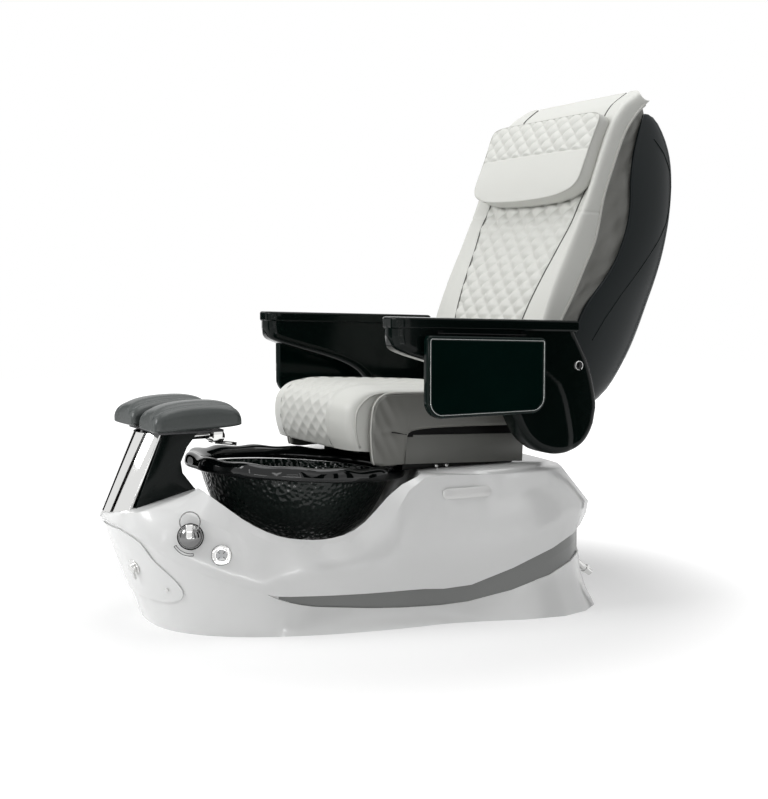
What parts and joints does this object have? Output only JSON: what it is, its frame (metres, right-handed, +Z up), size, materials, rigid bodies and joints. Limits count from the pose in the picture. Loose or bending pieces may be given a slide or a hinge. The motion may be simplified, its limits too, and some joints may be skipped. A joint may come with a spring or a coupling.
{
  "type": "pedicure spa chair",
  "caption": "Pedicure spa chair: foot bath hull with glass bowl and jet, lifting footrest, sliding seat, reclining massage back, head pillow, raising arms and flip trays",
  "frame": {"origin": "centre of the hull's footprint, on the floor", "axes": "+X the sitter's left, -Y the front with the foot bath, +Z up"},
  "size_m": [0.9712, 1.6971, 1.438],
  "materials": {
    "hull_white": "glossy moulded shell",
    "band_grey": "satin grey trim",
    "glass_black": "hammered black glass",
    "rim_black": "glossy scalloped glass rim",
    "chrome": "polished",
    "steel_frame": "powder coated",
    "steel_bright": "ground",
    "gloss_black": "polished black",
    "shell_black": "satin near-black shell",
    "plinth_black": "matt",
    "leather_white": "light warm grey upholstery",
    "leather_grey": "mid grey upholstery",
    "gusset_grey": "wrinkled gusset cloth",
    "vinyl_dark": "dark grey vinyl pads",
    "skirt_grey": "satin grey cover",
    "rubber_black": "matt",
    "pump_white": "moulded",
    "pump_grey": "moulded",
    "brass": "cast",
    "badge_white": "glossy bare plate",
    "button_white": "glossy"
  },
  "bodies": {
    "base": {"base_frame": "steel_frame", "levelling_feet": "rubber_black", "base_skirt": "hull_white", "trim_band": "band_grey", "upper_shell": "hull_white", "access_panel": "hull_white", "panel_latches": "chrome", "badge_plate": "badge_white", "bowl_stand": "steel_frame", "bowl": "glass_black", "bowl_rim": "rim_black", "drain_body": "chrome", "drain_pipe": "pump_white", "drain_link": "rubber_black", "lever_escutcheon": "chrome", "jet_housing": "pump_grey", "jet_guard": "chrome", "mixing_valve": "brass", "mixer_escutcheon": "chrome", "button_bezel": "chrome", "supply_fittings": "chrome", "footrest_housing": "gloss_black", "footrest_column": "chrome", "footrest_guide": "steel_bright", "faucet": "chrome", "seat_plinth": "plinth_black", "plinth_bolts": "chrome", "seat_rails": "steel_bright", "seat_actuator": "steel_bright"},
    "drain_lever": {"drain_lever": "chrome"},
    "drain_stopper": {"drain_stopper": "chrome"},
    "jet_impeller": {"jet_impeller": "pump_white"},
    "mixer_knob": {"mixer_knob": "chrome"},
    "air_button": {"air_button": "button_white"},
    "footrest": {"footrest_post": "chrome", "footrest_bracket": "steel_frame", "footrest_pad_left": "vinyl_dark", "footrest_pad_right": "vinyl_dark"},
    "seat": {"seat_frame": "steel_frame", "seat_cushion": "leather_white", "seat_panel_left": "leather_grey", "seat_panel_right": "leather_grey", "seat_skirt": "skirt_grey", "arm_brackets": "steel_frame", "hinge_shaft": "steel_bright", "arm_pins": "steel_bright"},
    "back": {"back_frame": "steel_frame", "back_shell": "shell_black", "back_cushion": "leather_white", "back_gussets": "gusset_grey", "pillow_pivot": "steel_bright"},
    "massage_carriage": {"massage_carriage": "steel_frame"},
    "massage_rollers": {"massage_rollers": "rubber_black"},
    "head_pillow": {"head_pillow": "leather_white"},
    "arm_left": {"arm_left": "gloss_black", "tray_hinge_left": "steel_bright"},
    "arm_right": {"arm_right": "gloss_black", "tray_hinge_right": "steel_bright"},
    "tray_left": {"tray_left": "gloss_black"},
    "tray_right": {"tray_right": "gloss_black"}
  },
  "joints": [
    {"name": "drain_lever_turn", "type": "hinge", "parent": "base", "child": "drain_lever", "pos_m": [0.07389, -0.70652, 0.1682], "axis": [0.1888, -0.9165, -0.3527], "range_deg": [0, 60]},
    {"name": "stopper_lift", "type": "slide", "parent": "base", "child": "drain_stopper", "axis": [0, 0.0698, 0.9976], "range_m": [0, 0.009]},
    {"name": "impeller_spin", "type": "hinge", "parent": "base", "child": "jet_impeller", "pos_m": [0, -0.44166, 0.27333], "axis": [0, 0.8746, 0.4848], "continuous": true},
    {"name": "mixer_turn", "type": "hinge", "parent": "base", "child": "mixer_knob", "pos_m": [0.22544, -0.61519, 0.26071], "axis": [0.8823, -0.4386, 0.1709], "range_deg": [-45, 45]},
    {"name": "air_press", "type": "slide", "parent": "base", "child": "air_button", "axis": [-0.933, 0.3066, -0.1884], "range_m": [0, 0.003], "stiffness_N_per_m": 800, "springref_m": -0.0005},
    {"name": "footrest_lift", "type": "slide", "parent": "base", "child": "footrest", "axis": [0, 0.4019, 0.9157], "range_m": [0, 0.06]},
    {"name": "seat_slide", "type": "slide", "parent": "base", "child": "seat", "axis": [0, 0.9992, -0.0401], "range_m": [-0.08, 0.06]},
    {"name": "back_recline", "type": "hinge", "parent": "seat", "child": "back", "pos_m": [0, 0.428, 0.5], "axis": [-1, 0, 0], "range_deg": [-8, 30]},
    {"name": "massage_travel", "type": "slide", "parent": "back", "child": "massage_carriage", "axis": [0, 0.3665, 0.9304], "range_m": [-0.12, 0.2]},
    {"name": "roller_spin", "type": "hinge", "parent": "massage_carriage", "child": "massage_rollers", "pos_m": [0, 0.50967, 0.86013], "axis": [1, 0, 0], "continuous": true},
    {"name": "pillow_tilt", "type": "hinge", "parent": "back", "child": "head_pillow", "pos_m": [0, 0.62595, 1.36305], "axis": [-1, 0, 0], "range_deg": [0, 35]},
    {"name": "arm_left_raise", "type": "hinge", "parent": "seat", "child": "arm_left", "pos_m": [0.385, 0.42, 0.664], "axis": [-1, 0, 0], "range_deg": [0, 65]},
    {"name": "tray_left_swing", "type": "hinge", "parent": "arm_left", "child": "tray_left", "pos_m": [0.432, -0.06993, 0.759], "axis": [0, -0.9994, 0.0349], "range_deg": [0, 90]},
    {"name": "arm_right_raise", "type": "hinge", "parent": "seat", "child": "arm_right", "pos_m": [-0.385, 0.42, 0.664], "axis": [-1, 0, 0], "range_deg": [0, 65]},
    {"name": "tray_right_swing", "type": "hinge", "parent": "arm_right", "child": "tray_right", "pos_m": [-0.432, -0.06993, 0.759], "axis": [0, 0.9994, -0.0349], "range_deg": [0, 90]}
  ],
  "couplings": [
    {"joint": "drain_lever_turn", "follows": "stopper_lift", "rad_per_m": 116.35}
  ]
}
